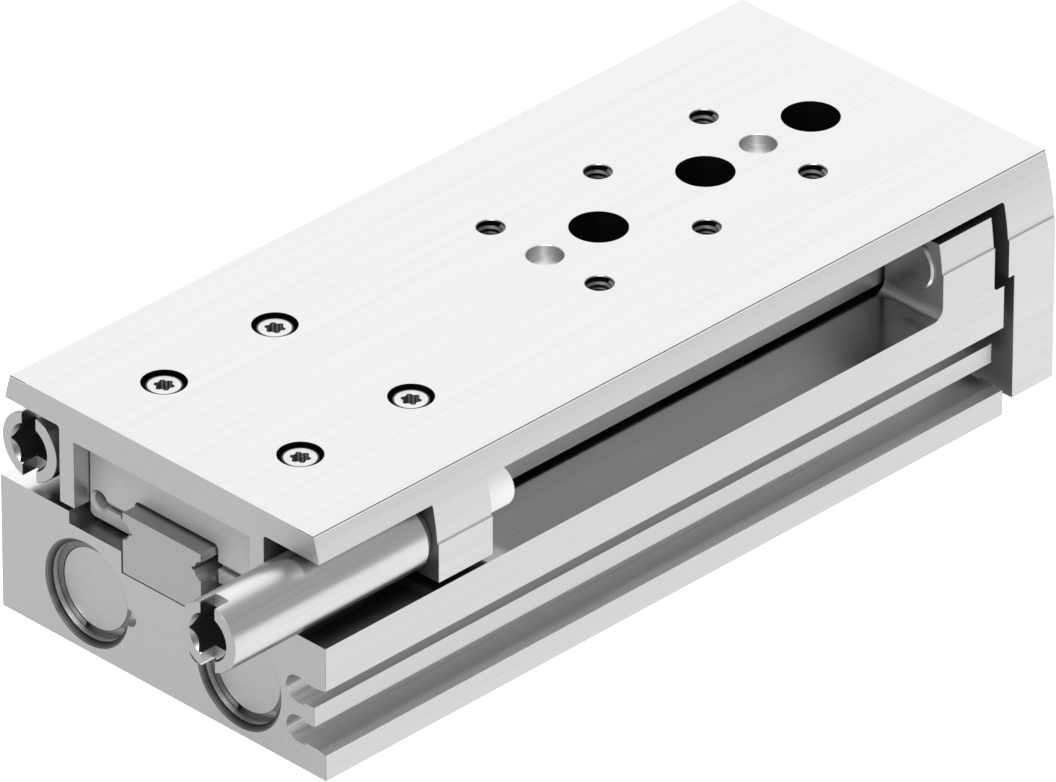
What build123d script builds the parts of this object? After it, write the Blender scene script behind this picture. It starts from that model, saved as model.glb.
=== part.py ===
from build123d import *
import math
import os

# A pneumatic slide table. +X is the stroke, from the rear end to the yoke. +Z is up, and the
# housing stands on Z = 0. -Y is the near long side, with the sensor slots. The origin is the
# middle of the housing's flat underside. Lengths are in millimetres.

# Housing
housing_length = 125.9
body_width = 59.8
housing_height = 20.0
well_half_width = 17.15
well_depth = 1.85

# Table, seen from its end
overall_height = 36.0
top_width = 55.6
crown_width = 57.6
crown_drop = 3.7
step_width = 59.3
step_height = 26.6
rim_thickness = 3.8
web_thickness = 5.1
flange_outer = 18.8
flange_thickness = 2.7
flange_gap = 0.85
inner_round = 0.5
lug_round = 0.3

# Yoke across the front end
yoke_thickness = 7.8
yoke_lip = 1.1
yoke_lip_height = 20.9
yoke_bottom = 1.85
yoke_gap = 1.9
yoke_round = 0.6

# Guide rail and carriage
rail_width = 14.8
rail_height = 9.3
rail_top = 24.2
rail_slot_clearance = 0.1
rail_foot_round = 0.4
ball_diameter = 3.0
ball_clearance = 0.05
ball_height = 21.55
ball_relief_depth = 0.45
ball_relief_height = 0.5
ball_pitch = 3.15
ball_count = 9
carriage_setback = 2.7
carriage_length = 40.2
cap_thickness = 5.0
carriage_round = 0.8
carriage_side_gap = 0.15
carriage_floor_gap = 0.8
carriage_rail_gap = 0.25
carriage_roof_gap = 0.4
return_offset = 4.4
grease_hole_radius = 1.2
grease_sink = 0.4
grease_hole_offset = 14.3
grease_depth = 2.2
grease_groove_height = 1.05
grease_groove_depth = 0.8

# Screws. A radius is the thread's outside, and a head sits in its counterbore.
rail_screw_pitch = 20.0
rail_screw_count = 6
rail_screw_radius = 2.0
rail_head_radius = 3.5
rail_head_height = 4.0
rail_screw_reach = 6.4
rail_key_flats = 3.0
table_screw_first = 12.8
table_screw_pitch = 20.0
table_screw_row = 25.0
table_screw_radius = 1.5
table_head_radius = 2.45
table_head_height = 2.2
table_head_sunk = 0.45
table_counterbore_radius = 3.1
table_screw_wall = 2.8
table_key_across = 2.8
table_key_core = 1.1
table_key_lobe = 0.4
rod_screw_radius = 2.0
rod_head_radius = 3.4
rod_head_height = 3.8
rod_screw_reach = 9.0
rod_key_flats = 3.0
head_clearance = 0.2
shank_clearance = 0.1
socket_depth_share = 0.55

# Holes for the load, in a 20 mm grid on the table
grid = 20.0
grid_first = 69.9
grid_columns = 3
load_thread_radius = 2.0
access_radius = 4.0
locating_radius = 2.5
locating_depth = 1.6
locating_chamfer = 0.1
yoke_thread_row = 40.0
yoke_thread_rise = 12.0
yoke_thread_low = 16.0
yoke_thread_depth = 6.0

# Holes in the housing's underside, symmetric about the origin
base_thread_radius = 2.5
base_thread_depth = 6.0
base_inner_spacing = 40.0
base_outer_spacing = 80.0
base_locating_spacing = 60.0

# Cylinders, one on each side of the rail
bore_radius = 6.0
bore_offset = 14.05
bore_height = 8.8
piston_length = 10.0
piston_clearance = 0.05
piston_rest_gap = 2.6
rod_radius = 3.0
stud_radius = 1.6
rod_seat_depth = 1.2
seal_width = 1.6
seal_depth = 1.3
magnet_width = 2.4
magnet_depth = 1.5
magnet_cover = 0.2

# Covers at both ends of each bore, held by open rings
cover_radius = 6.95
cover_clearance = 0.05
mouth_chamfer = 0.75
ring_thickness = 1.0
ring_outer = 7.3
ring_inner = 6.0
ring_set_in = 1.55
ring_groove_clearance = 0.05
ring_gap_from = -143.0
ring_gap_to = -73.0
boss_radius = 5.65
boss_round = 0.6
boss_face = 1.0
cover_thickness = 3.0
oring_section = 0.45
bushing_length = 10.6
front_ring_cover = 0.7
notch_radius = 1.25
notch_offset = 7.85
notch_drop = 0.2
notch_depth = 1.2

# Sensor slots in the near side
slot_low = 5.71
slot_high = 11.72
slot_round_radius = 1.97
slot_round_offset = 24.72
slot_lip_offset = 26.0
slot_mouth = 3.12
slot_flare = 0.3
slot_flare_start = 28.3
ridge_half_width = 27.8

# Air ports in the far side
port_rear = 7.0
port_front = 110.0
port_thread_radius = 2.5
port_thread_depth = 5.0
air_radius = 1.2

# Adjustable stops
sleeve_top_gap = 0.75
sleeve_foot_gap = 1.45
sleeve_side_gap = 0.7
sleeve_length = 34.6
sleeve_taper = 1.3
sleeve_taper_step = 0.8
sleeve_thread_step = 1.05
sleeve_edge_break = 0.12
thread_clearance = 0.05
thread_stick_out = 0.25
socket_wall = 2.05
socket_depth = 9.0
socket_mouth_depth = 0.75
driver_slot_width = 2.6
driver_slot_depth = 2.6
buffer_wall = 0.95
buffer_stick_out = 6.5
buffer_seat = 6.0
buffer_round = 0.7
buffer_clearance = 0.05
lug_thickness = 9.85
lug_gap = 0.9
lug_face_gap = 0.1
near_lug_rear = 20.4
far_sleeve_rear = 0.0
stop_block_thickness = 9.9
stop_block_setback = 1.9
stop_block_gap = 1.2
stop_side_gap = 0.5
stop_rear_round = 1.7
stop_front_round = 0.65
pad_step = 0.05
pad_depth = 2.5
pad_stick_out = 0.5
pad_edge = 0.3
stop_gap = 0.3

# Places that follow from the sizes above
rear = -housing_length / 2
front = housing_length / 2
half_width = body_width / 2
well_floor = housing_height - well_depth
rail_seat = rail_top - rail_height
rail_half = rail_width / 2
slot_half = rail_half + rail_slot_clearance
table_rear = rear
yoke_rear = front + yoke_gap
table_front = yoke_rear + yoke_thickness
yoke_lip_rear = yoke_rear - yoke_lip
rim_under = overall_height - rim_thickness
web_under = overall_height - web_thickness
flange_inner = flange_outer - flange_thickness
flange_foot = housing_height + flange_gap
sleeve_radius = (rim_under - housing_height - sleeve_top_gap - sleeve_foot_gap) / 2
sleeve_taper_radius = sleeve_radius - sleeve_taper_step
sleeve_thread_radius = sleeve_radius - sleeve_thread_step
socket_flats = 2 * (sleeve_radius - socket_wall)
buffer_radius = sleeve_thread_radius - buffer_wall
pad_radius = sleeve_thread_radius - pad_step
stop_height = housing_height + sleeve_foot_gap + sleeve_radius
stop_offset = flange_outer + sleeve_side_gap + sleeve_radius
stop_block_top = rim_under - stop_block_gap
lug_foot = housing_height + lug_gap
carriage_rear = rear + carriage_setback
carriage_front = carriage_rear + carriage_length
carriage_half = flange_inner - carriage_side_gap
carriage_foot = well_floor + carriage_floor_gap
carriage_mouth = rail_half + carriage_rail_gap
carriage_roof = rail_top + carriage_roof_gap
ball_radius = ball_diameter / 2
groove_radius = ball_radius + ball_clearance
ball_offset = (rail_half + carriage_mouth) / 2
table_screw_reach = web_under - ball_height - groove_radius - table_screw_wall
cover_bore = cover_radius + cover_clearance
cover_front = rear + ring_set_in + ring_thickness + ring_groove_clearance
cover_back = cover_front + cover_thickness
bushing_front = front - front_ring_cover - ring_thickness - ring_groove_clearance
bushing_rear = bushing_front - bushing_length
piston_rear = cover_back + piston_rest_gap
piston_front = piston_rear + piston_length
piston_radius = bore_radius - piston_clearance
rod_front = yoke_rear + rod_seat_depth
near_lug = rear + near_lug_rear
sleeve_near_rear = near_lug - lug_face_gap - sleeve_length - sleeve_taper
sleeve_far_rear = rear + far_sleeve_rear
far_lug = sleeve_far_rear + sleeve_length + sleeve_taper + lug_face_gap
sleeve_total = sleeve_length + sleeve_taper + lug_face_gap + lug_thickness + thread_stick_out
buffer_tip_far = sleeve_far_rear + sleeve_total + buffer_stick_out
strike_lug = buffer_tip_far + stop_gap + pad_stick_out
block_front = front - stop_block_setback
block_rear = block_front - stop_block_thickness
stop_inner = flange_outer + stop_side_gap
buffer_tip_near = sleeve_near_rear + sleeve_total + buffer_stick_out
stroke = block_rear - pad_stick_out - stop_gap - buffer_tip_near

near = -1
far = 1
sides = {"near": near, "far": far}


def block(x0, x1, y0, y1, z0, z1):
    low = Align.MIN
    return Pos(x0, y0, z0) * Box(x1 - x0, y1 - y0, z1 - z0, align=(low, low, low))


def along_x(x0, x1, y, z, radius):
    solid = Cylinder(radius, x1 - x0, align=(Align.CENTER, Align.CENTER, Align.MIN))
    return Pos(x0, y, z) * Rot(0, 90, 0) * solid


def cone_x(x0, x1, y, z, radius0, radius1):
    solid = Cone(radius0, radius1, x1 - x0, align=(Align.CENTER, Align.CENTER, Align.MIN))
    return Pos(x0, y, z) * Rot(0, 90, 0) * solid


def along_y(x, y0, y1, z, radius):
    solid = Cylinder(radius, y1 - y0, align=(Align.CENTER, Align.CENTER, Align.MIN))
    return Pos(x, y0, z) * Rot(-90, 0, 0) * solid


def along_z(x, y, z0, z1, radius):
    solid = Cylinder(radius, z1 - z0, align=(Align.CENTER, Align.CENTER, Align.MIN))
    return Pos(x, y, z0) * solid


def cone_z(x, y, z0, z1, radius0, radius1):
    solid = Cone(radius0, radius1, z1 - z0, align=(Align.CENTER, Align.CENTER, Align.MIN))
    return Pos(x, y, z0) * solid


def rect(u0, u1, v0, v1):
    return Pos((u0 + u1) / 2, (v0 + v1) / 2) * Rectangle(u1 - u0, v1 - v0)


def disc(u, v, radius):
    return Pos(u, v) * Circle(radius)


def prism_x(sketch, x0, x1):
    return extrude(Plane.YZ.offset(x0) * sketch, amount=x1 - x0)


def prism_y(sketch, y0, y1):
    return extrude(Plane.XZ.offset(-y0) * sketch, amount=y0 - y1)


def hexagon_x(x0, x1, y, z, flats):
    sketch = Pos(y, z) * RegularPolygon(flats / 2, 6, major_radius=False)
    return prism_x(sketch, x0, x1)


def hexagon_z(x, y, z0, z1, flats):
    sketch = Pos(x, y) * RegularPolygon(flats / 2, 6, major_radius=False)
    return extrude(Plane.XY.offset(z0) * sketch, amount=z1 - z0)


def six_lobe_z(x, y, z0, z1):
    sketch = disc(x, y, table_key_core)
    reach = table_key_across / 2 - table_key_lobe
    for i in range(6):
        angle = math.radians(60 * i)
        sketch += disc(x + reach * math.cos(angle), y + reach * math.sin(angle), table_key_lobe)
    return extrude(Plane.XY.offset(z0) * sketch, amount=z1 - z0)


def inside_round(u, v, radius, toward_u, toward_v):
    # the web that rounds the inside corner at u, v, on the side that the two signs name
    corner = rect(min(u, u + toward_u * radius), max(u, u + toward_u * radius),
                  min(v, v + toward_v * radius), max(v, v + toward_v * radius))
    return corner - disc(u + toward_u * radius, v + toward_v * radius, radius)


def crowned_section(bottom, top):
    # the outline that table, lugs, yoke and stop block share: upright sides, a fine step, and
    # above it sides that lean in along an arc
    full = crowned_half()
    lower = rect(-half_width, half_width, bottom, step_height)
    return (lower + full) & rect(-half_width, half_width, bottom, top)


def crowned_half():
    right = ThreePointArc((step_width / 2, step_height),
                          (crown_width / 2, overall_height - crown_drop),
                          (top_width / 2, overall_height))
    top = Line((top_width / 2, overall_height), (-top_width / 2, overall_height))
    left = ThreePointArc((-top_width / 2, overall_height),
                         (-crown_width / 2, overall_height - crown_drop),
                         (-step_width / 2, step_height))
    foot = Line((-step_width / 2, step_height), (step_width / 2, step_height))
    return make_face([right, top, left, foot])


def crowned(solid, bottom, top):
    long_enough = table_front - table_rear + housing_length
    return solid & prism_x(crowned_section(bottom, top), -long_enough, long_enough)


def one_sensor_slot(height):
    half_mouth = slot_mouth / 2
    wide = rect(-slot_lip_offset, -slot_round_offset, height - slot_round_radius,
                height + slot_round_radius)
    round_end = disc(-slot_round_offset, height, slot_round_radius)
    mouth = make_face(Polyline(
        (-slot_lip_offset, height - half_mouth),
        (-slot_lip_offset, height + half_mouth),
        (-slot_flare_start, height + half_mouth),
        (-half_width, height + half_mouth + slot_flare),
        (-half_width, height - half_mouth - slot_flare),
        (-slot_flare_start, height - half_mouth),
        close=True))
    return wide + round_end + mouth


def ring_sketch(outer, inner):
    reach = 2 * outer
    corners = [(0, 0)]
    for angle in (ring_gap_from, (ring_gap_from + ring_gap_to) / 2, ring_gap_to):
        corners.append((reach * math.cos(math.radians(angle)), reach * math.sin(math.radians(angle))))
    return Circle(outer) - Circle(inner) - make_face(Polyline(*corners, close=True))


def open_ring(x0, side):
    sketch = Pos(side * bore_offset, bore_height) * ring_sketch(ring_outer, ring_inner)
    return prism_x(sketch, x0, x0 + ring_thickness)


def rail_screw_places():
    return [rear + rail_screw_pitch * (i + 1) for i in range(rail_screw_count)]


def table_screw_places():
    first = rear + table_screw_first
    return [(x, side * table_screw_row / 2) for side in (near, far)
            for x in (first, first + table_screw_pitch)]


def grid_places():
    return [rear + grid_first + grid * i for i in range(grid_columns)]


def housing_bore(side):
    y = side * bore_offset
    cut = along_x(cover_back, bushing_rear, y, bore_height, bore_radius)
    cut += along_x(rear, cover_back, y, bore_height, cover_bore)
    cut += cone_x(rear, rear + mouth_chamfer, y, bore_height, cover_bore + mouth_chamfer, cover_bore)
    ring_seat = ring_outer + ring_groove_clearance
    cut += along_x(rear + ring_set_in - ring_groove_clearance, cover_front, y, bore_height, ring_seat)
    cut += along_x(bushing_rear, front, y, bore_height, cover_bore)
    cut += along_x(bushing_front, bushing_front + ring_thickness + 2 * ring_groove_clearance,
                   y, bore_height, ring_seat)
    cut += along_x(rear, rear + notch_depth, y - side * notch_offset, bore_height - notch_drop,
                   notch_radius)
    return cut


def housing_stop_block():
    outline = rect(block_rear, block_front, housing_height, stop_block_top)
    outline += inside_round(block_rear, housing_height, stop_rear_round, -1, 1)
    outline += inside_round(block_front, housing_height, stop_front_round, 1, 1)
    solid = prism_y(outline, -half_width, -stop_inner)
    return crowned(solid, housing_height, stop_block_top)


def housing_far_lug():
    outline = rect(far_lug, far_lug + lug_thickness, housing_height, stop_block_top)
    outline += inside_round(far_lug, housing_height, stop_front_round, -1, 1)
    outline += inside_round(far_lug + lug_thickness, housing_height, stop_front_round, 1, 1)
    solid = prism_y(outline, stop_inner, half_width)
    return crowned(solid, housing_height, stop_block_top)


def housing():
    section = rect(-half_width, half_width, 0, housing_height)
    section -= rect(-well_half_width, well_half_width, well_floor, housing_height)
    section -= rect(-slot_half, slot_half, rail_seat, housing_height)
    section -= one_sensor_slot(slot_low) + one_sensor_slot(slot_high)
    section -= rect(-half_width, -ridge_half_width, slot_low, slot_high)
    body = prism_x(section, rear, front)
    body += housing_stop_block() + housing_far_lug()
    body -= housing_bore(near) + housing_bore(far)
    body -= along_x(far_lug, far_lug + lug_thickness, stop_offset, stop_height,
                    sleeve_thread_radius + thread_clearance)
    body -= along_x(block_rear, block_rear + pad_depth, -stop_offset, stop_height, pad_radius)
    for x in rail_screw_places():
        body -= along_z(x, 0, rail_seat - rail_screw_reach - shank_clearance, rail_seat,
                        rail_screw_radius)
    for spacing in (base_inner_spacing, base_outer_spacing):
        for x in (-spacing / 2, spacing / 2):
            body -= along_z(x, 0, 0, base_thread_depth, base_thread_radius)
    for x in (-base_locating_spacing / 2, base_locating_spacing / 2):
        body -= along_z(x, 0, 0, locating_depth, locating_radius)
    for place in (port_rear, port_front):
        x = rear + place
        body -= along_y(x, half_width - port_thread_depth, half_width, bore_height,
                        port_thread_radius)
        body -= along_y(x, -bore_offset, half_width - port_thread_depth, bore_height, air_radius)
    return body


def guide_rail():
    section = rect(-rail_half, rail_half, rail_seat, rail_top)
    for side in (near, far):
        section -= disc(side * ball_offset, ball_height, groove_radius)
        bottom = ball_offset - groove_radius
        relief = (bottom - ball_relief_depth, bottom + ball_relief_depth)
        section -= rect(min(side * relief[0], side * relief[1]), max(side * relief[0], side * relief[1]),
                        ball_height - ball_relief_height / 2, ball_height + ball_relief_height / 2)
    for side in (near, far):
        section -= inside_round(side * rail_half, rail_seat, rail_foot_round, -side, 1)
        section -= inside_round(side * rail_half, rail_top, rail_foot_round, -side, -1)
    rail = prism_x(section, rear, front)
    counterbore = rail_head_radius + head_clearance
    for x in rail_screw_places():
        rail -= along_z(x, 0, rail_seat, rail_top, rail_screw_radius + shank_clearance)
        rail -= along_z(x, 0, rail_top - rail_head_height - head_clearance, rail_top, counterbore)
    return rail


def cap_screw_z(x, y, seat, head_radius, head_height, radius, tip):
    return along_z(x, y, seat, seat + head_height, head_radius) + along_z(x, y, tip, seat, radius)


def rail_screw(x):
    top = rail_top - head_clearance
    screw = cap_screw_z(x, 0, top - rail_head_height, rail_head_radius, rail_head_height,
                        rail_screw_radius, rail_seat - rail_screw_reach)
    return screw - hexagon_z(x, 0, top - rail_head_height * socket_depth_share, top, rail_key_flats)


def table_screw_seat():
    return overall_height - table_head_sunk - table_head_height


def table_screw(x, y):
    screw = cap_screw_z(x, y, table_screw_seat(), table_head_radius, table_head_height,
                        table_screw_radius, web_under - table_screw_reach)
    top = overall_height - table_head_sunk
    return screw - six_lobe_z(x, y, top - table_head_height * socket_depth_share, top)


def rear_cover(side):
    y = side * bore_offset
    cover = along_x(cover_front, cover_back, y, bore_height, cover_radius)
    cover += along_x(rear + boss_face, cover_front, y, bore_height, boss_radius)
    rim = cover.edges().filter_by(GeomType.CIRCLE).sort_by(Axis.X)[0]
    cover = fillet(rim, boss_round)
    groove_rear = (cover_front + cover_back) / 2 - oring_section
    groove_front = (cover_front + cover_back) / 2 + oring_section
    ring = along_x(groove_rear, groove_front, y, bore_height, cover_radius)
    ring -= along_x(groove_rear, groove_front, y, bore_height, cover_radius - 2 * oring_section)
    return cover - ring


def cover_seal(side):
    middle = (cover_front + cover_back) / 2
    ring = Torus(cover_radius - oring_section, oring_section)
    return Pos(middle, side * bore_offset, bore_height) * Rot(0, 90, 0) * ring


def rod_bushing(side):
    y = side * bore_offset
    bushing = along_x(bushing_rear, bushing_front, y, bore_height, cover_radius)
    bushing -= along_x(bushing_rear, bushing_front, y, bore_height, rod_radius + piston_clearance)
    seal_front = bushing_front - seal_width
    bushing -= along_x(seal_front - seal_width, seal_front, y, bore_height, rod_radius + seal_depth)
    return bushing


def rod_seal(side):
    y = side * bore_offset
    seal_front = bushing_front - seal_width
    seal = along_x(seal_front - seal_width, seal_front, y, bore_height, rod_radius + seal_depth)
    return seal - along_x(seal_front - seal_width, seal_front, y, bore_height,
                          rod_radius + piston_clearance)


def stop_pad(x_face, y, reach):
    edge = cone_x(x_face, x_face + pad_edge, y, stop_height, pad_radius - pad_edge, pad_radius)
    pad = along_x(x_face + pad_edge, x_face + reach, y, stop_height, pad_radius)
    return pad + edge


def table_lug(x_rear, side):
    y0, y1 = sorted((side * flange_outer, side * half_width))
    lug = block(x_rear, x_rear + lug_thickness, y0, y1, lug_foot, rim_under)
    lug += prism_y(inside_round(x_rear, rim_under, lug_round, -1, -1), y0, y1)
    return lug + prism_y(inside_round(x_rear + lug_thickness, rim_under, lug_round, 1, -1), y0, y1)


def slide_table():
    table = block(table_rear, table_front, -half_width, half_width, rim_under, overall_height)
    table += block(table_rear, yoke_lip_rear, -flange_outer, flange_outer, web_under, rim_under)
    for side in (near, far):
        y0, y1 = sorted((side * flange_inner, side * flange_outer))
        table += block(table_rear, yoke_lip_rear, y0, y1, flange_foot, web_under)
        table += prism_x(inside_round(side * flange_outer, rim_under, inner_round, side, -1),
                         table_rear, yoke_lip_rear)
    table += table_lug(near_lug, near) + table_lug(strike_lug, far)
    table += block(yoke_lip_rear, table_front, -half_width, half_width, yoke_lip_height, rim_under)
    table += block(yoke_rear, table_front, -half_width, half_width, yoke_bottom, yoke_lip_height)
    table += prism_y(inside_round(yoke_lip_rear, rim_under, yoke_round, -1, -1), -half_width, half_width)
    table = crowned(table, yoke_bottom, overall_height)
    table -= along_x(near_lug, near_lug + lug_thickness, -stop_offset, stop_height,
                     sleeve_thread_radius + thread_clearance)
    table -= along_x(strike_lug, strike_lug + pad_depth, stop_offset, stop_height, pad_radius)
    table -= table_top_holes() + yoke_holes()
    return table


def table_top_holes():
    cut = Part()
    for x, y in table_screw_places():
        cut += along_z(x, y, web_under, table_screw_seat(), table_screw_radius + shank_clearance)
        cut += along_z(x, y, table_screw_seat(), overall_height, table_counterbore_radius)
    for x in grid_places():
        for y in (-grid / 2, grid / 2):
            cut += along_z(x, y, web_under, overall_height, load_thread_radius)
        cut += along_z(x + grid / 2, 0, web_under, overall_height, access_radius)
    for x in (grid_places()[0], grid_places()[-1]):
        cut += along_z(x, 0, overall_height - locating_depth, overall_height, locating_radius)
        cut += cone_z(x, 0, overall_height - locating_chamfer, overall_height, locating_radius,
                      locating_radius + locating_chamfer)
    return cut


def yoke_holes():
    cut = Part()
    head_seat = table_front - rod_head_height - head_clearance
    for side in (near, far):
        y = side * bore_offset
        cut += along_x(yoke_rear, rod_front, y, bore_height, rod_radius + piston_clearance)
        cut += along_x(rod_front, head_seat, y, bore_height, rod_screw_radius + shank_clearance)
        cut += along_x(head_seat, table_front, y, bore_height, rod_head_radius + head_clearance)
        for z in (yoke_thread_low, yoke_thread_low + yoke_thread_rise):
            cut += along_x(table_front - yoke_thread_depth, table_front, side * yoke_thread_row / 2, z,
                           load_thread_radius)
    middle = yoke_thread_low + yoke_thread_rise / 2
    cut += along_x(table_front - locating_depth, table_front, 0, middle, locating_radius)
    return cut


def carriage_section():
    section = rect(-carriage_half, carriage_half, carriage_foot, web_under)
    section -= rect(-carriage_mouth, carriage_mouth, carriage_foot, carriage_roof)
    for side in (near, far):
        section -= inside_round(side * carriage_half, carriage_foot, carriage_round, -side, 1)
        section += inside_round(side * carriage_mouth, carriage_roof, carriage_round, -side, -1)
    return section


def carriage_block():
    section = carriage_section()
    for side in (near, far):
        section -= disc(side * ball_offset, ball_height, groove_radius)
        section -= disc(side * (ball_offset + return_offset), ball_height, groove_radius)
    solid = prism_x(section, carriage_rear + cap_thickness, carriage_front - cap_thickness)
    for x, y in table_screw_places():
        solid -= along_z(x, y, web_under - table_screw_reach - shank_clearance, web_under,
                         table_screw_radius)
    return solid


def turnaround(x_face, side):
    # the half ring in a cap that leads the balls from the loaded row to the return row
    radius = return_offset / 2
    ring = Torus(radius, groove_radius)
    place = Pos(x_face, side * (ball_offset + radius), ball_height)
    return place * ring


def carriage_cap(x0, x1, outer_face, inner_face):
    cap = prism_x(carriage_section(), x0, x1)
    inward = 1 if inner_face > outer_face else -1
    for side in (near, far):
        cap -= turnaround(inner_face, side)
        hole_end = outer_face + inward * grease_depth
        y = side * grease_hole_offset
        cap -= along_x(min(outer_face, hole_end), max(outer_face, hole_end), y, ball_height,
                       grease_hole_radius)
        sink_end = outer_face + inward * grease_sink
        wide = grease_hole_radius + grease_sink
        radii = (wide, grease_hole_radius) if inward > 0 else (grease_hole_radius, wide)
        cap -= cone_x(min(outer_face, sink_end), max(outer_face, sink_end), y, ball_height, *radii)
        groove_end = outer_face + inward * grease_groove_depth
        y0, y1 = sorted((side * carriage_mouth, y))
        cap -= block(min(outer_face, groove_end), max(outer_face, groove_end), y0, y1,
                     ball_height - grease_groove_height / 2, ball_height + grease_groove_height / 2)
    return cap


def ball_row(side):
    middle = (carriage_rear + carriage_front) / 2
    first = middle - ball_pitch * (ball_count - 1) / 2
    balls = []
    for i in range(ball_count):
        place = Pos(first + ball_pitch * i, side * ball_offset, ball_height)
        balls.append(place * Sphere(ball_radius))
    return Compound(children=balls)


def piston_grooves():
    # rear seal, magnet and front seal, each as (start, width, depth) along the piston
    spare = (piston_length - 2 * seal_width - magnet_width) / 4
    first = piston_rear + spare
    second = first + seal_width + spare
    third = second + magnet_width + spare
    return {"seal_rear": (first, seal_width, seal_depth),
            "magnet": (second, magnet_width, magnet_depth),
            "seal_front": (third, seal_width, seal_depth)}


def piston_ring(side, name, cover):
    start, width, depth = piston_grooves()[name]
    y = side * bore_offset
    ring = along_x(start, start + width, y, bore_height, piston_radius - cover)
    return ring - along_x(start, start + width, y, bore_height, piston_radius - depth)


def piston(side):
    y = side * bore_offset
    solid = along_x(piston_rear, piston_front, y, bore_height, piston_radius)
    for name in piston_grooves():
        solid -= piston_ring(side, name, 0)
    return solid - along_x(piston_rear, piston_front, y, bore_height, stud_radius)


def piston_rod(side):
    y = side * bore_offset
    rod = along_x(piston_front, rod_front, y, bore_height, rod_radius)
    rod += along_x(piston_rear, piston_front, y, bore_height, stud_radius)
    return rod - along_x(rod_front - rod_screw_reach - shank_clearance, rod_front, y, bore_height,
                         rod_screw_radius)


def rod_screw(side):
    y = side * bore_offset
    head_seat = table_front - rod_head_height - head_clearance
    screw = along_x(head_seat, head_seat + rod_head_height, y, bore_height, rod_head_radius)
    screw += along_x(rod_front - rod_screw_reach, head_seat, y, bore_height, rod_screw_radius)
    depth = rod_head_height * socket_depth_share
    return screw - hexagon_x(head_seat + rod_head_height - depth, head_seat + rod_head_height, y,
                             bore_height, rod_key_flats)


def stop_sleeve(x0, y):
    z = stop_height
    taper = x0 + sleeve_length
    thread = taper + sleeve_taper
    end = x0 + sleeve_total
    sleeve = along_x(x0 + sleeve_edge_break, taper, y, z, sleeve_radius)
    sleeve += cone_x(x0, x0 + sleeve_edge_break, y, z, sleeve_radius - sleeve_edge_break, sleeve_radius)
    sleeve += cone_x(taper, thread, y, z, sleeve_radius, sleeve_taper_radius)
    sleeve += along_x(thread, end, y, z, sleeve_thread_radius)
    sleeve -= along_x(end - buffer_seat, end, y, z, buffer_radius + buffer_clearance)
    sleeve -= hexagon_x(x0, x0 + socket_depth, y, z, socket_flats)
    corner = socket_flats / 2 / math.cos(math.radians(30))
    sleeve -= cone_x(x0, x0 + socket_mouth_depth, y, z, corner, socket_flats / 2)
    half_slot = driver_slot_width / 2
    sleeve -= block(x0, x0 + driver_slot_depth, y - half_slot, y + half_slot, z - 2 * sleeve_radius,
                    z + 2 * sleeve_radius)
    return sleeve


def stop_buffer(x0, y):
    end = x0 + sleeve_total
    pin = along_x(end - buffer_seat + buffer_clearance, end + buffer_stick_out, y, stop_height,
                  buffer_radius)
    rim = pin.edges().filter_by(GeomType.CIRCLE).sort_by(Axis.X)[-1]
    return fillet(rim, buffer_round)


parts = {"housing": housing(), "guide_rail": guide_rail(), "slide_table": slide_table()}
for i, x in enumerate(rail_screw_places()):
    parts[f"rail_screw_{i + 1}"] = rail_screw(x)
for i, place in enumerate(table_screw_places()):
    parts[f"carriage_screw_{i + 1}"] = table_screw(*place)
parts["carriage_block"] = carriage_block()
parts["carriage_cap_rear"] = carriage_cap(carriage_rear, carriage_rear + cap_thickness,
                                          carriage_rear, carriage_rear + cap_thickness)
parts["carriage_cap_front"] = carriage_cap(carriage_front - cap_thickness, carriage_front,
                                           carriage_front, carriage_front - cap_thickness)
for name, side in sides.items():
    parts[f"bearing_balls_{name}"] = ball_row(side)
    parts[f"rear_cover_{name}"] = rear_cover(side)
    parts[f"cover_seal_{name}"] = cover_seal(side)
    parts[f"rear_ring_{name}"] = open_ring(rear + ring_set_in, side)
    parts[f"front_ring_{name}"] = open_ring(bushing_front + ring_groove_clearance, side)
    parts[f"rod_bushing_{name}"] = rod_bushing(side)
    parts[f"rod_seal_{name}"] = rod_seal(side)
    parts[f"piston_{name}"] = piston(side)
    parts[f"piston_rod_{name}"] = piston_rod(side)
    parts[f"piston_magnet_{name}"] = piston_ring(side, "magnet", magnet_cover)
    parts[f"piston_seal_rear_{name}"] = piston_ring(side, "seal_rear", 0)
    parts[f"piston_seal_front_{name}"] = piston_ring(side, "seal_front", 0)
    parts[f"rod_screw_{name}"] = rod_screw(side)
parts["extend_stop_pad"] = stop_pad(block_rear - pad_stick_out, -stop_offset,
                                    pad_depth + pad_stick_out)
parts["retract_stop_pad"] = stop_pad(strike_lug - pad_stick_out, stop_offset,
                                     pad_depth + pad_stick_out)
parts["extend_sleeve"] = stop_sleeve(sleeve_near_rear, -stop_offset)
parts["extend_buffer"] = stop_buffer(sleeve_near_rear, -stop_offset)
parts["retract_sleeve"] = stop_sleeve(sleeve_far_rear, stop_offset)
parts["retract_buffer"] = stop_buffer(sleeve_far_rear, stop_offset)

print("stroke", round(stroke, 3))
os.makedirs("parts", exist_ok=True)
for name, solid in parts.items():
    export_step(solid, f"parts/{name}.step")
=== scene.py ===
import math

import bmesh
import bpy
from mathutils import Matrix, Vector


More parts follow.
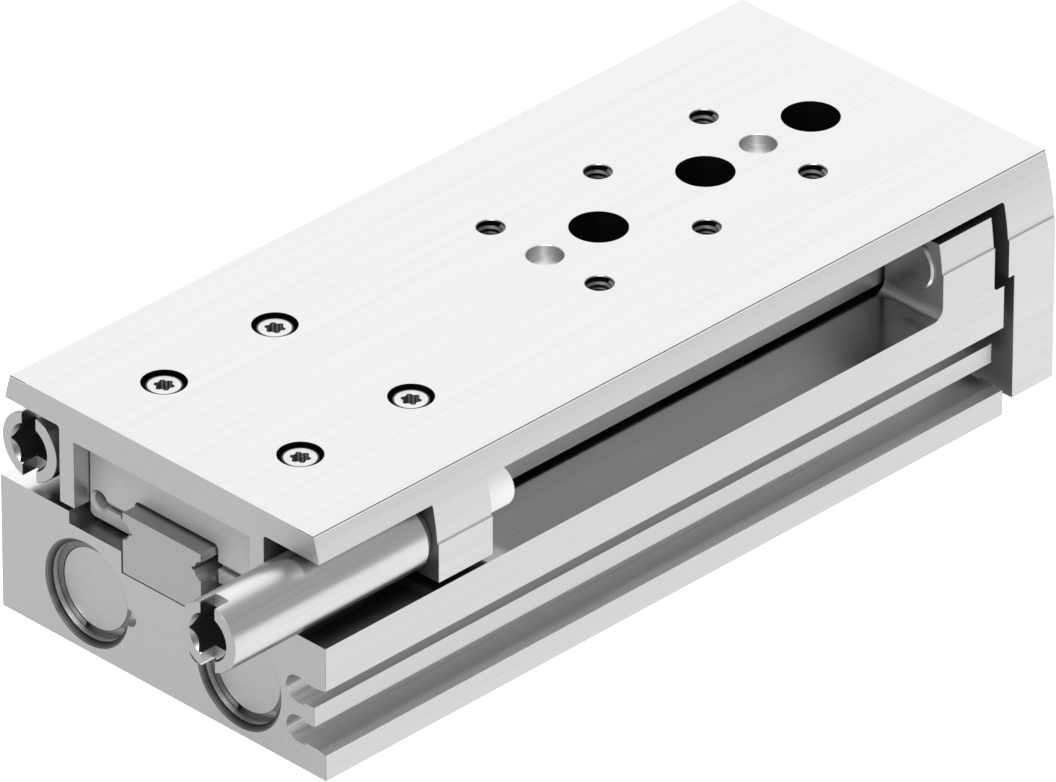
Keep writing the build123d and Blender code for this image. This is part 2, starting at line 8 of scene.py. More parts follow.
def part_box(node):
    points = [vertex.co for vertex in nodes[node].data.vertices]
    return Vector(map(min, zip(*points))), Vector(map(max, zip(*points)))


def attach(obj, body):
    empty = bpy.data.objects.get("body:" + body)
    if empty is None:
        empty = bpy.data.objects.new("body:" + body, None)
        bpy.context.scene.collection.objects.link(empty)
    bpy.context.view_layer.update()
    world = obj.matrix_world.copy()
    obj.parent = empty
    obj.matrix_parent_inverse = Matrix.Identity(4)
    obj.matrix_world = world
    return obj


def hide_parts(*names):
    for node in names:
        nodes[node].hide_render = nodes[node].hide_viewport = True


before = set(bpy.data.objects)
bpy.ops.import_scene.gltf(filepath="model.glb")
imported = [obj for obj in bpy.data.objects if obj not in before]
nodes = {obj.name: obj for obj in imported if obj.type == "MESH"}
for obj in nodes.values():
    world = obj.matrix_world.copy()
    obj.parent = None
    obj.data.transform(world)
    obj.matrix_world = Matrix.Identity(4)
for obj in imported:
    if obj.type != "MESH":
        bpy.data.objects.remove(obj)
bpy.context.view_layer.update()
MM = 0.001


# Sizes in millimetres, as in the part's source. X counts from the middle of the housing and is
# mostly given from its rear end, side is the distance from the middle plane, and Z counts from the
# underside.
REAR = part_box("housing")[0][0] / MM
HALF_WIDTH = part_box("housing")[1][1] / MM
YOKE_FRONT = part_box("slide_table")[1][0] / MM
TABLE_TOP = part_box("slide_table")[1][2] / MM
HOUSING_TOP = 20.0
WELL_FLOOR = 18.15
STOP_TOP = 31.0
STOP_SPAN = REAR + 110, REAR + 127
LUG_SPAN = REAR + 15, REAR + 27
STEP_HEIGHT = 26.6
FLANGE_SIDE = 18.8
GRID, GRID_FIRST, GRID_COLUMNS = 20.0, 69.9, 3
ACCESS_RADIUS = 4.0
LOCATING_FLOOR = 34.4
BORE_SIDE, BORE_HEIGHT = 14.05, 8.8
MOUTH_RADIUS = 7.0
COVER_RADIUS = 6.95
COVER_THICKNESS = 3.0
DISC_RADIUS = 5.95
SEAL_SECTION = 0.45
RING_FACE = REAR + 1.6
SLEEVE_SIDE, SLEEVE_HEIGHT = 24.5, 26.45
M4, M5 = (2.0, 0.7), (2.5, 0.8)  # a thread's radius and pitch
THREAD_DEPTH = 0.5413  # the depth of a metric internal thread, as a share of its pitch
BROKEN_EDGE = 0.12

# The table's four screws lie round one point, at the same distance along X and to the side.
HEAD_LOW, HEAD_HIGH = [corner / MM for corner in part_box("carriage_screw_1")]
NEXT_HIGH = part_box("carriage_screw_2")[1] / MM
HEAD_RADIUS = (HEAD_HIGH[0] - HEAD_LOW[0]) / 2
SCREWS_MIDDLE = (HEAD_LOW[0] + NEXT_HIGH[0]) / 2
SCREW_ALONG = SCREWS_MIDDLE - HEAD_LOW[0] - HEAD_RADIUS
SCREW_SIDE = abs(HEAD_LOW[1] + HEAD_HIGH[1]) / 2

# Which way a face looks: bounds on one part of its normal
UP = (0.9, 1.01)
DOWN = (-1.01, -0.5)
LEVEL = (-0.5, 0.5)
REARWARD = (-1.01, -0.9)

COLOUR = 2  # the place of a colour among a Mix node's outputs


def about(middle, reach):
    """The bounds that lie reach below and above the middle."""
    return middle - reach, middle + reach


def camera():
    """The photograph's viewpoint: behind, above and on the near side, through a very long lens."""
    azimuth, elevation, roll = [math.radians(a) for a in (44.729, 31.633, 0.086)]
    level = math.cos(elevation)
    back = Vector((-math.cos(azimuth) * level, -math.sin(azimuth) * level, math.sin(elevation)))
    right = Vector((0, 0, 1)).cross(back).normalized()
    upward = back.cross(right)
    turned_right = math.cos(roll) * right + math.sin(roll) * upward
    turned_up = math.cos(roll) * upward - math.sin(roll) * right
    turn = Matrix((turned_right, turned_up, back)).transposed().to_4x4()
    data = bpy.data.cameras.new("photo_camera")
    data.sensor_fit = "HORIZONTAL"
    data.sensor_width = 36
    data.lens = 558.4
    data.shift_x = 0.0074
    data.clip_start = 0.1
    eye = bpy.data.objects.new("photo_camera", data)
    bpy.context.scene.collection.objects.link(eye)
    eye.matrix_world = Matrix.Translation((-1.29446, -1.28465, 1.14160)) @ turn
    bpy.context.scene.camera = eye


def srgb(colour):
    """Linear values of an sRGB hex colour."""
    channels = [int(colour[i:i + 2], 16) / 255 for i in (1, 3, 5)]
    return [c / 12.92 if c <= 0.04045 else ((c + 0.055) / 1.055) ** 2.4
            for c in channels] + [1.0]


def add(tree, kind, inputs=None, **settings):
    """One node with its settings. Each input is a value, or the socket that feeds it."""
    node = tree.nodes.new(kind)
    for name, value in settings.items():
        setattr(node, name, value)
    for name, value in (inputs or {}).items():
        if isinstance(value, bpy.types.NodeSocket):
            tree.links.new(value, node.inputs[name])
        else:
            node.inputs[name].default_value = value
    return node


def place_light(name, data, towards, distance=1.6):
    """A lamp that shines at the object from the direction towards."""
    lamp = bpy.data.objects.new(name, data)
    bpy.context.scene.collection.objects.link(lamp)
    direction = Vector(towards).normalized()
    lamp.location = direction * distance
    lamp.rotation_euler = direction.to_track_quat("Z", "Y").to_euler()


def stage():
    """A pale floor in a white room, a wide key light on the camera's side and a softbox behind."""
    scene = bpy.context.scene
    scene.world = bpy.data.worlds.new("white_room")
    scene.world.use_nodes = True
    room = scene.world.node_tree.nodes["Background"]
    room.inputs["Color"].default_value = srgb("#FFFFFF")
    room.inputs["Strength"].default_value = 0.55

    bm = bmesh.new()
    bmesh.ops.create_grid(bm, x_segments=1, y_segments=1, size=3)
    mesh = bpy.data.meshes.new("floor")
    bm.to_mesh(mesh)
    bm.free()
    floor = bpy.data.objects.new("floor", mesh)
    scene.collection.objects.link(floor)
    floor.location.z = -0.2 * MM  # clear of the underside
    # Opal white acrylic lit from below, as a product table is, so that no shadow shows on it.
    pale = bpy.data.materials.new("lit_opal_floor")
    pale.use_nodes = True
    opal = pale.node_tree.nodes["Principled BSDF"]
    opal.inputs["Base Color"].default_value = srgb("#989898")
    opal.inputs["Roughness"].default_value = 0.9
    opal.inputs["Emission Color"].default_value = srgb("#FFFFFF")
    opal.inputs["Emission Strength"].default_value = 1.05
    mesh.materials.append(pale)

    key = bpy.data.lights.new("key_light", "SUN")
    key.energy = 1.9
    key.angle = math.radians(30)
    place_light("key_light", key, (-0.42, -0.32, 0.87))
    softbox = bpy.data.lights.new("far_softbox", "AREA")
    softbox.shape = "RECTANGLE"
    softbox.size = softbox.size_y = 1.8
    softbox.energy = 11.5
    place_light("far_softbox", softbox, (1.0, 1.0, 0.9))
    scene.view_settings.view_transform = "Standard"
    scene.view_settings.look = "None"


def new_material(name):
    """A material with an empty Principled surface: the material, its node tree and the surface."""
    material = bpy.data.materials.new(name)
    material.use_nodes = True
    tree = material.node_tree
    tree.nodes.clear()
    surface = add(tree, "ShaderNodeBsdfPrincipled")
    add(tree, "ShaderNodeOutputMaterial", {"Surface": surface.outputs["BSDF"]})
    return material, tree, surface


def patches(tree, place, value, areas):
    """The value, a colour or a roughness, times a gain in each area: on a colour mostly painted
    shade or light, on a roughness such as a milled floor.

    An area is its gain and its bounds, all of which hold there: x, z and side (the distance from
    the middle plane), from_bore, from_sleeve and from_screw (the distances from the nearest bore's,
    stop sleeve's and table screw's axis) in millimetres, and nx and nz, parts of the normal.
    """
    if not areas:
        return value
    point = add(tree, "ShaderNodeSeparateXYZ", {"Vector": place.outputs["Object"]})
    normal = add(tree, "ShaderNodeSeparateXYZ", {"Vector": place.outputs["Normal"]})
    side = add(tree, "ShaderNodeMath", {0: point.outputs["Y"]}, operation="ABSOLUTE")
    along = add(tree, "ShaderNodeMath", {0: point.outputs["X"], 1: SCREWS_MIDDLE * MM},
                operation="SUBTRACT")
    along = add(tree, "ShaderNodeMath", {0: along.outputs["Value"]}, operation="ABSOLUTE")
    measures = {"x": point.outputs["X"], "z": point.outputs["Z"], "side": side.outputs["Value"],
                "nx": normal.outputs["X"], "nz": normal.outputs["Z"]}
    section = add(tree, "ShaderNodeCombineXYZ", {"Y": side.outputs["Value"],
                                                 "Z": point.outputs["Z"]})
    plan = add(tree, "ShaderNodeCombineXYZ", {"X": along.outputs["Value"],
                                              "Y": side.outputs["Value"]})
    for name, view, axis in (("from_bore", section, (0, BORE_SIDE, BORE_HEIGHT)),
                             ("from_sleeve", section, (0, SLEEVE_SIDE, SLEEVE_HEIGHT)),
                             ("from_screw", plan, (SCREW_ALONG, SCREW_SIDE, 0))):
        distance = add(tree, "ShaderNodeVectorMath",
                       {0: view.outputs["Vector"], 1: [part * MM for part in axis]},
                       operation="DISTANCE")
        measures[name] = distance.outputs["Value"]
    for gain, bounds in areas:
        inside = None
        for name, (low, high) in bounds.items():
            unit = 1 if name in ("nx", "nz") else MM
            middle, reach = (low + high) / 2 * unit, (high - low) / 2 * unit
            within = add(tree, "ShaderNodeMath", {0: measures[name], 1: middle, 2: reach},
                         operation="COMPARE")
            if inside:
                within = add(tree, "ShaderNodeMath",
                             {0: inside.outputs["Value"], 1: within.outputs["Value"]},
                             operation="MULTIPLY")
            inside = within
        change = add(tree, "ShaderNodeMath", {0: inside.outputs["Value"], 1: gain - 1, 2: 1.0},
                     operation="MULTIPLY_ADD")
        value = add(tree, "ShaderNodeVectorMath", {0: value, "Scale": change.outputs["Value"]},
                    operation="SCALE").outputs["Vector"]
    return value


def painted_corner_shade(tree, facing, along_x):
    """1 on the broken corner between an end and a side, where the normal turns from X to Y: where a
    line of painted shade goes.
    """
    broken = add(tree, "ShaderNodeBevel", {"Radius": BROKEN_EDGE * MM}, samples=4)
    broken = add(tree, "ShaderNodeSeparateXYZ", {"Vector": broken.outputs["Normal"]})
    factors = []
    for axis in "XY":
        turned = add(tree, "ShaderNodeMath", {0: broken.outputs[axis]}, operation="ABSOLUTE")
        turned = add(tree, "ShaderNodeMapRange", {"Value": turned.outputs["Value"],
                                                  "From Min": 0.12, "From Max": 0.3})
        factors.append(turned.outputs["Result"])
    # only on upright faces that are square to X or to Y, so not in the round holes and slots
    upright = add(tree, "ShaderNodeMath", {0: facing.outputs["Z"], 1: 0.0, 2: 0.15},
                  operation="COMPARE")
    slanting = add(tree, "ShaderNodeMath", {0: along_x.outputs["Value"], 1: 0.5, 2: 0.49},
                   operation="COMPARE")
    square = add(tree, "ShaderNodeMath", {0: 1.0, 1: slanting.outputs["Value"]},
                 operation="SUBTRACT")
    factors += [upright.outputs["Value"], square.outputs["Value"]]
    line = factors[0]
    for factor in factors[1:]:
        line = add(tree, "ShaderNodeMath", {0: line, 1: factor},
                   operation="MULTIPLY").outputs["Value"]
    return line


def brushed_aluminium(name, light_streak, dark_streak, cut_light, cut_dark, areas, glossier=()):
    """Clear anodised aluminium, drawn and brushed along X, with matt sawn ends.

    It gives a soft, nearly white top and grey sides with hair-fine streaks 0.2 to 0.4 mm wide and
    some 40 mm long, plain darker ends of matt sawn metal that are also darkened as painted shade,
    and a painted shade line on upright corners. The areas scale the colour, mostly as painted shade
    and light.
    """
    material, tree, surface = new_material(name)
    place = add(tree, "ShaderNodeTexCoord")
    # streaks 40 mm long and 0.3 mm wide, on bands 125 mm long and 1.6 mm wide
    hair = add(tree, "ShaderNodeMapping", {"Vector": place.outputs["Object"],
                                           "Scale": (25, 3600, 3600)})
    hair = add(tree, "ShaderNodeTexNoise", {"Vector": hair.outputs["Vector"], "Scale": 1.0,
                                            "Detail": 3.0})
    band = add(tree, "ShaderNodeMapping", {"Vector": place.outputs["Object"],
                                           "Scale": (8, 620, 620)})
    band = add(tree, "ShaderNodeTexNoise", {"Vector": band.outputs["Vector"], "Scale": 1.0,
                                            "Detail": 2.0})
    streaks = add(tree, "ShaderNodeMix", {"Factor": 0.35, "A": hair.outputs["Fac"],
                                          "B": band.outputs["Fac"]})
    streaks = add(tree, "ShaderNodeMapRange", {"Value": streaks.outputs["Result"],
                                               "From Min": 0.32, "From Max": 0.68})
    brushed = add(tree, "ShaderNodeMix", {"Factor": streaks.outputs["Result"],
                                          "A": srgb(dark_streak), "B": srgb(light_streak)},
                  data_type="RGBA")
    # the sawn ends: grain about 1 mm across, with no direction
    grain = add(tree, "ShaderNodeTexNoise", {"Vector": place.outputs["Object"], "Scale": 900.0,
                                             "Detail": 4.0})
    cut = add(tree, "ShaderNodeMix", {"Factor": grain.outputs["Fac"], "A": srgb(cut_dark),
                                      "B": srgb(cut_light)}, data_type="RGBA")
    facing = add(tree, "ShaderNodeSeparateXYZ", {"Vector": place.outputs["Normal"]})
    along_x = add(tree, "ShaderNodeMath", {0: facing.outputs["X"]}, operation="ABSOLUTE")
    # the faces along X take the sawn colours: matt sawn metal, darker also as painted shade
    cut_and_shaded_end = add(tree, "ShaderNodeMapRange", {"Value": along_x.outputs["Value"],
                                              "From Min": 0.6, "From Max": 0.8})
    metal = add(tree, "ShaderNodeMix", {"Factor": cut_and_shaded_end.outputs["Result"],
                                        "A": brushed.outputs[COLOUR], "B": cut.outputs[COLOUR]},
                data_type="RGBA")
    # painted shade: a dark grey line on the upright corners
    metal = add(tree, "ShaderNodeMix", {"Factor": painted_corner_shade(tree, facing, along_x),
                                        "A": metal.outputs[COLOUR], "B": srgb("#3A3A3A")},
                data_type="RGBA")
    tree.links.new(patches(tree, place, metal.outputs[COLOUR], areas),
                   surface.inputs["Base Color"])
    surface.inputs["Metallic"].default_value = 1.0
    sheen = add(tree, "ShaderNodeMapRange", {"Value": streaks.outputs["Result"],
                                             "To Min": 0.37, "To Max": 0.43})
    rough = add(tree, "ShaderNodeMix", {"Factor": cut_and_shaded_end.outputs["Result"],
                                        "A": sheen.outputs["Result"], "B": 0.5})
    tree.links.new(patches(tree, place, rough.outputs["Result"], glossier),
                   surface.inputs["Roughness"])
    soft = add(tree, "ShaderNodeBevel", {"Radius": 0.05 * MM}, samples=4)
    relief = add(tree, "ShaderNodeBump", {"Height": hair.outputs["Fac"], "Strength": 0.1,
                                          "Distance": 0.02 * MM, "Normal": soft.outputs["Normal"]})
    tree.links.new(relief.outputs["Normal"], surface.inputs["Normal"])
    return material


def machined_metal(name, light_tone, dark_tone, roughness, repeats=(900, 900, 900), edge_mm=0.1,
                   metallic=1.0, end_tone=None, shade_mm=0.0, shade_tone="#0C0C0C", areas=()):
    """A turned, ground, plated or moulded part in one tone.

    Repeats is the grain's count to a metre on X, Y and Z. The faces along X are in end_tone if that
    is given, and when a reach is given the part's own deep holes and grooves go to a dark tone
    within it, as painted shade. The areas scale the colour, mostly as painted shade and light.
    """
    material, tree, surface = new_material(name)
    place = add(tree, "ShaderNodeTexCoord")
    grain = add(tree, "ShaderNodeMapping", {"Vector": place.outputs["Object"], "Scale": repeats})
    grain = add(tree, "ShaderNodeTexNoise", {"Vector": grain.outputs["Vector"], "Scale": 1.0,
                                             "Detail": 3.0})
    grain = add(tree, "ShaderNodeMapRange", {"Value": grain.outputs["Fac"], "From Min": 0.3,
                                             "From Max": 0.7})
    tone = add(tree, "ShaderNodeMix", {"Factor": grain.outputs["Result"], "A": srgb(dark_tone),
                                       "B": srgb(light_tone)}, data_type="RGBA")
    rough = add(tree, "ShaderNodeMapRange", {"Value": grain.outputs["Result"],
                                             "To Min": roughness - 0.03,
                                             "To Max": roughness + 0.03})
    rough = rough.outputs["Result"]
    if end_tone:
        facing = add(tree, "ShaderNodeSeparateXYZ", {"Vector": place.outputs["Normal"]})
        facing = add(tree, "ShaderNodeMath", {0: facing.outputs["X"]}, operation="ABSOLUTE")
        is_end = add(tree, "ShaderNodeMapRange", {"Value": facing.outputs["Value"],
                                                  "From Min": 0.5, "From Max": 0.75})
        tone = add(tree, "ShaderNodeMix", {"Factor": is_end.outputs["Result"],
                                           "A": tone.outputs[COLOUR], "B": srgb(end_tone)},
                   data_type="RGBA")
        rough = add(tree, "ShaderNodeMix", {"Factor": is_end.outputs["Result"], "A": rough,
                                            "B": 0.5}).outputs["Result"]
    # painted shade: the part's own holes and grooves darken towards a dark tone the more closed in
    # they are
    if shade_mm:
        free = add(tree, "ShaderNodeAmbientOcclusion", {"Distance": shade_mm * MM}, samples=6,
                   only_local=True)
        shade_share = add(tree, "ShaderNodeMapRange", {"Value": free.outputs["AO"], "From Min": 0.5,
                                                  "From Max": 0.1, "To Max": 0.95})
        tone = add(tree, "ShaderNodeMix", {"Factor": shade_share.outputs["Result"],
                                           "A": tone.outputs[COLOUR], "B": srgb(shade_tone)},
                   data_type="RGBA")
    tree.links.new(patches(tree, place, tone.outputs[COLOUR], areas),
                   surface.inputs["Base Color"])
    surface.inputs["Metallic"].default_value = metallic
    tree.links.new(rough, surface.inputs["Roughness"])
    soft = add(tree, "ShaderNodeBevel", {"Radius": edge_mm * MM}, samples=4)
    relief = add(tree, "ShaderNodeBump", {"Height": grain.outputs["Result"], "Strength": 0.1,
                                          "Distance": 0.01 * MM, "Normal": soft.outputs["Normal"]})
    tree.links.new(relief.outputs["Normal"], surface.inputs["Normal"])
    return material


camera()
stage()

# Painted shade and light that several pieces have: shade on the walls and on the faces that look
# down, and light on the step on the sides
sides = (0.91, {"nz": LEVEL})
underside_shade = (0.25, {"nz": DOWN})
step_light = (1.6, {"nz": UP, "z": about(STEP_HEIGHT, 0.2), "side": (28, 30)})

# The table. Painted shade makes its drilled holes black inside, first of all the three over the
# rail's screws.
drilled = {"nz": (-0.3, 0.3), "z": (31, TABLE_TOP)}
table_areas = [(0.08, {**drilled, "side": (0, ACCESS_RADIUS + 0.1),
                       "x": about(REAR + GRID_FIRST + GRID * (column + 0.5), ACCESS_RADIUS + 0.1)})
               for column in range(GRID_COLUMNS)]
table_areas += [
    sides,
    step_light,
    # painted light on the outer walls of the flanges
    (1.12, {"nx": LEVEL, "nz": LEVEL, "side": about(FLANGE_SIDE, 0.5), "z": (HOUSING_TOP, 32)}),
    # painted shade on the faces under the plate and the lugs, and on the rim's underside over the
    # stop block
    (0.2, {"nz": DOWN, "z": (0, 31.5)}),
    (0.2, {"nz": DOWN, "z": (32, 32.4), "x": STOP_SPAN}),
    # painted shade in the holes of the screws and the threads
    (0.05, {**drilled, "side": (5, 16.2), "x": (REAR + 0.5, REAR + 125)}),
    # painted light on the floors of the locating bores
    (1.5, {"nz": UP, "z": about(LOCATING_FLOOR, 0.1), "side": (0, 3)}),
    # painted shade on the rear faces of the yoke and of the near lug
    (0.5, {"nx": REARWARD, "x": (REAR + 126, YOKE_FRONT - 2)}),
    (0.45, {"nx": REARWARD, "x": LUG_SPAN, "side": (FLANGE_SIDE + 0.1, 30)}),
    # painted shade as a dark hairline along the top's long edges, with a painted highlight under it
    (0.03, {"nz": LEVEL, "z": (TABLE_TOP - 0.12, TABLE_TOP + 0.1), "side": (25, 31)}),
    (1.3, {"nz": LEVEL, "z": (TABLE_TOP - 0.3, TABLE_TOP - 0.14), "side": (25, 31)}),
]
table_finish = brushed_aluminium("brushed_table_aluminium", "#CCCCCC", "#C2C2C2",
                                 "#AFAFAF", "#A9A9A9", table_areas)

# The housing, with a glossier milled floor on both sides of the guide, and painted shade and light
# on its walls, floors and bore mouths.
pocket_floor = {"nz": UP, "z": about(HOUSING_TOP, 0.5), "side": (17.2, 30)}
housing_areas = [
    sides,
    step_light,
    # painted light on the lower walls of the sensor slots
    (1.45, {"nz": (0.3, 1.01), "z": (1, 15), "side": (20, 30)}),
    # painted shade on the floor of the rail's well and on the top of the stop block
    (0.55, {"nz": UP, "z": about(WELL_FLOOR, 0.15)}),
    (0.4, {"nz": UP, "z": about(STOP_TOP, 0.5), "x": STOP_SPAN}),
    # painted light on the turned wall in each bore's mouth, between the chamfer and the ring
    (1.6, {"nx": (-0.2, 0.2), "from_bore": about(MOUTH_RADIUS, 0.1),
           "x": (REAR + 0.76, REAR + 1.52)}),
]
# painted shade on the chamfer round each bore's mouth, darker inwards in three rings
housing_areas += [(gain, {"nx": (-0.8, -0.6), "from_bore": (MOUTH_RADIUS - 0.1, MOUTH_RADIUS + 0.9),
                          "x": (REAR + start, REAR + start + 0.25)})
                  for gain, start in ((0.3, 0.0), (0.16, 0.25), (0.06, 0.5))]
housing_finish = brushed_aluminium("brushed_housing_aluminium", "#CACACA", "#C0C0C0",
                                   "#AFAFAF", "#A9A9A9", housing_areas, [(0.5, pocket_floor)])

# Turned discs behind the retaining rings: the same grey as the sawn end, a little smoother.
cover_finish = machined_metal("turned_cover_aluminium", "#A4A4A4", "#9E9E9E", 0.45)
# Ground guide rail: streaks along X on its sides, a plain darker end with a line of painted shade
# round it.
rail_low, rail_high = [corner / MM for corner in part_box("guide_rail")]
rail_finish = machined_metal("ground_rail_steel", "#BCBCBC", "#B2B2B2", 0.45, (40, 3000, 3000),
                             edge_mm=0.06, end_tone="#989898",
                             areas=[(0.06, {"nx": REARWARD,
                                            "side": (rail_high[1] - 0.2, rail_high[1] + 0.1)}),
                                    (0.06, {"nx": REARWARD,
                                            "z": (rail_low[2] - 0.1, rail_low[2] + 0.2)})])
# Ground carriage: fine streaks along X, smoother than the rail, with painted shade on the faces
# that look down.
carriage_finish = machined_metal("ground_carriage_steel", "#A4A4A4", "#989898", 0.35,
                                 (40, 3000, 3000), areas=[underside_shade])
# Glass-filled nylon end caps: a smooth mid grey with a wide, weak gloss, and painted shade in their
# own hollows and on the faces that look down.
cap_finish = machined_metal("moulded_cap_plastic", "#A6A6A6", "#A0A0A0", 0.42, metallic=0.3,
                            shade_mm=1.5, areas=[underside_shade])
# Bearing balls: polished like mirrors.
ball_finish = machined_metal("polished_ball_steel", "#D0D0D0", "#C6C6C6", 0.08, edge_mm=0.01)
# Zinc-plated heads, the brightest metal after the table's top, with painted shade as a dark rim and
# in their recesses.
screw_rim_shade = {"nz": (-0.3, 1.01), "from_screw": (HEAD_RADIUS - 0.25, HEAD_RADIUS + 0.1)}
zinc_finish = machined_metal("bright_zinc_screw", "#C6C6C6", "#BABABA", 0.3, (1500, 1500, 1500),
                             edge_mm=0.06, shade_mm=3.0, shade_tone="#505050",
                             areas=[(0.06, screw_rim_shade)])
# Black oxide on the other screws: nearly black, with an oily gloss.
black_oxide_finish = machined_metal("black_oxide_screw", "#2C2C2D", "#1E1E1F", 0.35)
# Hardened spring steel: dark grey rings, darkened further as painted shade in their groove.
ring_finish = machined_metal("spring_steel_ring", "#686868", "#5C5C5C", 0.4, edge_mm=0.06)
# Nitrile rubber: black and matt.
rubber_finish = machined_metal("black_nitrile_rubber", "#1C1C1C", "#141414", 0.6, metallic=0.0)
# Bearing bronze: a warm yellow, the only colour on the object.
bushing_finish = machined_metal("turned_bronze", "#C8A876", "#B8985F", 0.35)
# Hard chrome, ground and polished: long sharp highlights.
rod_finish = machined_metal("ground_chrome_rod", "#DADADC", "#CFCFD1", 0.12)
# Plastic-bonded magnet: dull and dark.
magnet_finish = machined_metal("bonded_magnet", "#3A3A3C", "#2C2C2E", 0.55, metallic=0.4)
# Turned aluminium pistons: bright, with a satin gloss.
piston_finish = machined_metal("turned_piston_aluminium", "#CFCFD0", "#C2C2C3", 0.3)
# Hardened stop pads: ground, a little darker than the aluminium round them.
pad_finish = machined_metal("hardened_stop_steel", "#B0B0B0", "#A6A6A6", 0.35)
# Satin steel sleeves with fine lengthwise grinding: a light band above, a grey one below, with
# painted shade on the underside, in the mouth and in their own hollows.
sleeve_mouth_shade = {"nx": (-0.97, 0.5), "from_sleeve": (0, 4.7)}
sleeve_underside_shade = {"nz": (-1.01, -0.45), "from_sleeve": (4.7, 5.1)}
sleeve_finish = machined_metal("satin_sleeve_steel", "#C8C8C8", "#BEBEBE", 0.3, (60, 1800, 1800),
                               end_tone="#A2A2A2", shade_mm=3.0,
                               areas=[(0.55, sleeve_mouth_shade), (0.4, sleeve_underside_shade)])
# Cut threads: the table's metal without its anodised skin, greyer and uneven.
thread_finish = machined_metal("cut_thread_aluminium", "#969696", "#848484", 0.35, edge_mm=0.02)
# White cast polyurethane, soft and matt. Light scatters inside it, which a weak glow stands for,
# so its shaded side is nearly as bright as its lit one.
buffer_finish = machined_metal("white_polyurethane", "#9C9C9C", "#989898", 0.8, metallic=0.0)
polyurethane = buffer_finish.node_tree.nodes["Principled BSDF"]
polyurethane.inputs["Emission Color"].default_value = srgb("#FFFFFF")
polyurethane.inputs["Emission Strength"].default_value = 0.54

finishes = {
    "housing": housing_finish, "slide_table": table_finish, "guide_rail": rail_finish,
    "carriage_block": carriage_finish, "carriage_cap": cap_finish, "bearing_balls": ball_finish,
    "carriage_screw": zinc_finish, "rail_screw": black_oxide_finish,
    "rod_screw": black_oxide_finish, "rear_cover": cover_finish, "cover_seal": rubber_finish,
    "rear_ring": ring_finish, "front_ring": ring_finish, "rod_bushing": bushing_finish,
    "rod_seal": rubber_finish, "piston_rod": rod_finish, "piston_magnet": magnet_finish,
    "piston_seal": rubber_finish, "piston": piston_finish, "extend_stop_pad": pad_finish,
    "retract_stop_pad": pad_finish, "extend_sleeve": sleeve_finish,
    "retract_sleeve": sleeve_finish, "extend_buffer": buffer_finish,
    "retract_buffer": buffer_finish,
}


def finish_nodes():
    """Each CAD node gets the finish whose name it starts with, the longest such name."""
    for name, node in nodes.items():
        kind = max((k for k in finishes if name.startswith(k)), key=len)
        if not node.data.materials:
            node.data.materials.append(finishes[kind])
        for slot in node.material_slots:
            slot.material = finishes[kind]


def finished_piece(name, bm, body, finish):
    """The object made of a bmesh drawn in millimetres, riding on its body."""
    bmesh.ops.scale(bm, vec=Vector((MM, MM, MM)), verts=bm.verts)
    bmesh.ops.remove_doubles(bm, verts=bm.verts, dist=1e-7)
    bmesh.ops.recalc_face_normals(bm, faces=bm.faces)
    mesh = bpy.data.meshes.new(name)
    bm.to_mesh(mesh)
    bm.free()
    mesh.shade_smooth()
    mesh.set_sharp_from_angle(angle=math.radians(30))
    mesh.materials.append(finish)
    piece = bpy.data.objects.new(name, mesh)
    bpy.context.scene.collection.objects.link(piece)
    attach(piece, body)
    return piece


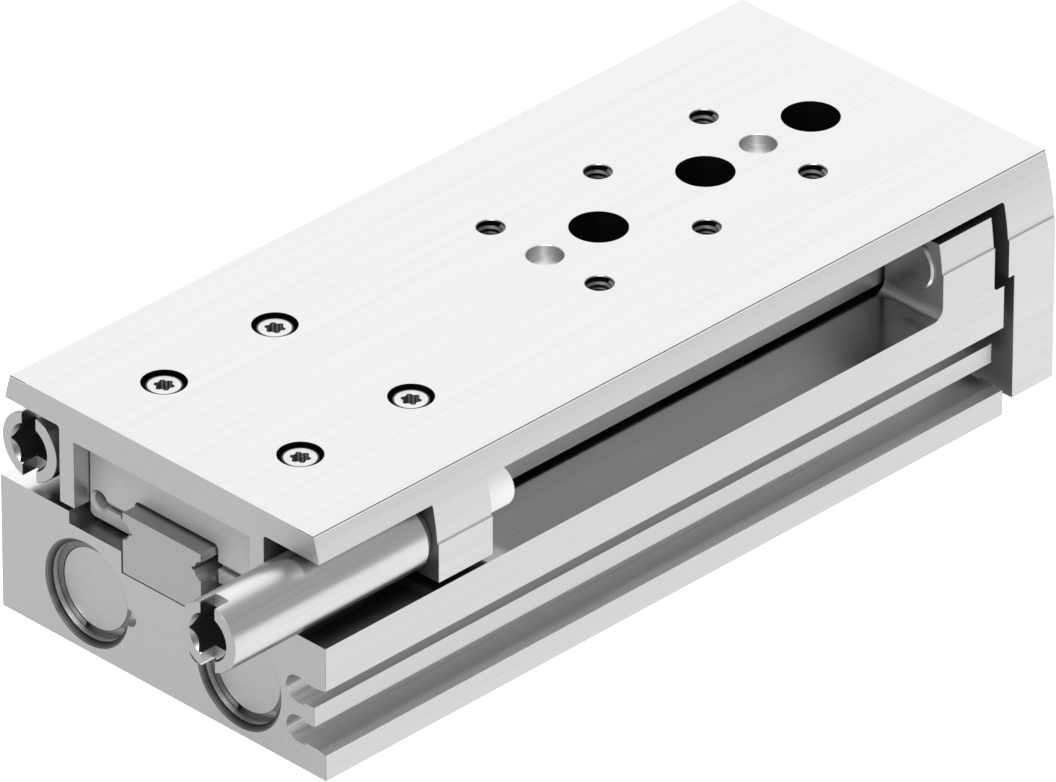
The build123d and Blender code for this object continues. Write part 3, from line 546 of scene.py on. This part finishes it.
def threads(name, holes, axis, size, depth, body):
    """Right-hand internal threads on the walls of some holes, each with the cone at its mouth.

    A hole is the centre of its mouth in millimetres, axis points into it, size is the thread's
    radius and pitch, and the last whole turn ends before depth. The thread is a ridge of the
    metric form, wound by a spin that steps along the axis, and it starts under the cone.
    """
    radius, pitch = size
    crest = radius - THREAD_DEPTH * pitch
    foot = radius + 0.01  # a little inside the wall
    steps = 24
    first = 2.5 * BROKEN_EDGE
    turns = int((depth - first) / pitch)
    inward = Vector(axis)
    across = Vector((0, 0, 1)) if abs(inward.z) < 0.5 else Vector((1, 0, 0))
    bm = bmesh.new()
    for mouth in holes:
        centre = Vector(mouth)
        cone = [(radius, 0.0), (radius - BROKEN_EDGE, BROKEN_EDGE), (radius, 2 * BROKEN_EDGE)]
        ring = [bm.verts.new(centre + across * r + inward * d) for r, d in cone]
        edges = [bm.edges.new(pair) for pair in zip(ring, ring[1:] + ring[:1])]
        bmesh.ops.spin(bm, geom=ring + edges, cent=centre, axis=inward, angle=2 * math.pi,
                       steps=32, use_merge=True, use_duplicate=False)
        ridge = [(foot, 0.0625), (crest, 0.375), (crest, 0.625), (foot, 0.9375)]
        start = bm.faces.new([bm.verts.new(centre + across * r + inward * (first + share * pitch))
                              for r, share in ridge])
        bmesh.ops.spin(bm, geom=[start], cent=centre, axis=inward, dvec=inward * (pitch / steps),
                       angle=2 * math.pi * turns, steps=steps * turns, use_duplicate=False)
    finished_piece(name, bm, body, thread_finish)


def flat_cover(node, side):
    """A bore's rear cover: a flat disc level with its ring's rear face, and its seal's groove."""
    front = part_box(node)[1][0] / MM
    seat = front - COVER_THICKNESS
    middle = (front + seat) / 2
    groove = COVER_RADIUS - 2 * SEAL_SECTION
    edge = 0.1
    profile = [(RING_FACE, 0), (RING_FACE, DISC_RADIUS - edge), (RING_FACE + edge, DISC_RADIUS),
               (seat, DISC_RADIUS), (seat, COVER_RADIUS), (middle - SEAL_SECTION, COVER_RADIUS),
               (middle - SEAL_SECTION, groove), (middle + SEAL_SECTION, groove),
               (middle + SEAL_SECTION, COVER_RADIUS), (front, COVER_RADIUS), (front, 0)]
    centre = Vector((0, side * BORE_SIDE, BORE_HEIGHT))
    bm = bmesh.new()
    corners = [bm.verts.new(centre + Vector((x, 0, radius))) for x, radius in profile]
    edges = [bm.edges.new(pair) for pair in zip(corners, corners[1:])]
    bmesh.ops.spin(bm, geom=corners + edges, cent=centre, axis=(1, 0, 0), angle=2 * math.pi,
                   steps=96, use_merge=True, use_duplicate=False)
    piece = finished_piece(node + "_disc", bm, "housing_body", cover_finish)
    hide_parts(node)


finish_nodes()

# The mouths of the threaded holes in the table's top, the yoke, the underside and the far side
load_holes = [(REAR + GRID_FIRST + GRID * column, y, TABLE_TOP)
              for column in range(GRID_COLUMNS) for y in (-GRID / 2, GRID / 2)]
yoke_holes = [(YOKE_FRONT, y, z) for y in (-20, 20) for z in (16, 28)]
base_holes = [(x, 0, 0) for x in (-40, -20, 20, 40)]
port_holes = [(REAR + x, HALF_WIDTH, BORE_HEIGHT) for x in (7, 110)]
threads("table_threads", load_holes, (0, 0, -1), M4, 5.1, "table_body")
threads("yoke_threads", yoke_holes, (-1, 0, 0), M4, 5.8, "table_body")
threads("base_threads", base_holes, (0, 0, 1), M5, 5.8, "housing_body")
threads("port_threads", port_holes, (0, -1, 0), M5, 4.8, "housing_body")

flat_cover("rear_cover_near", -1)
flat_cover("rear_cover_far", 1)
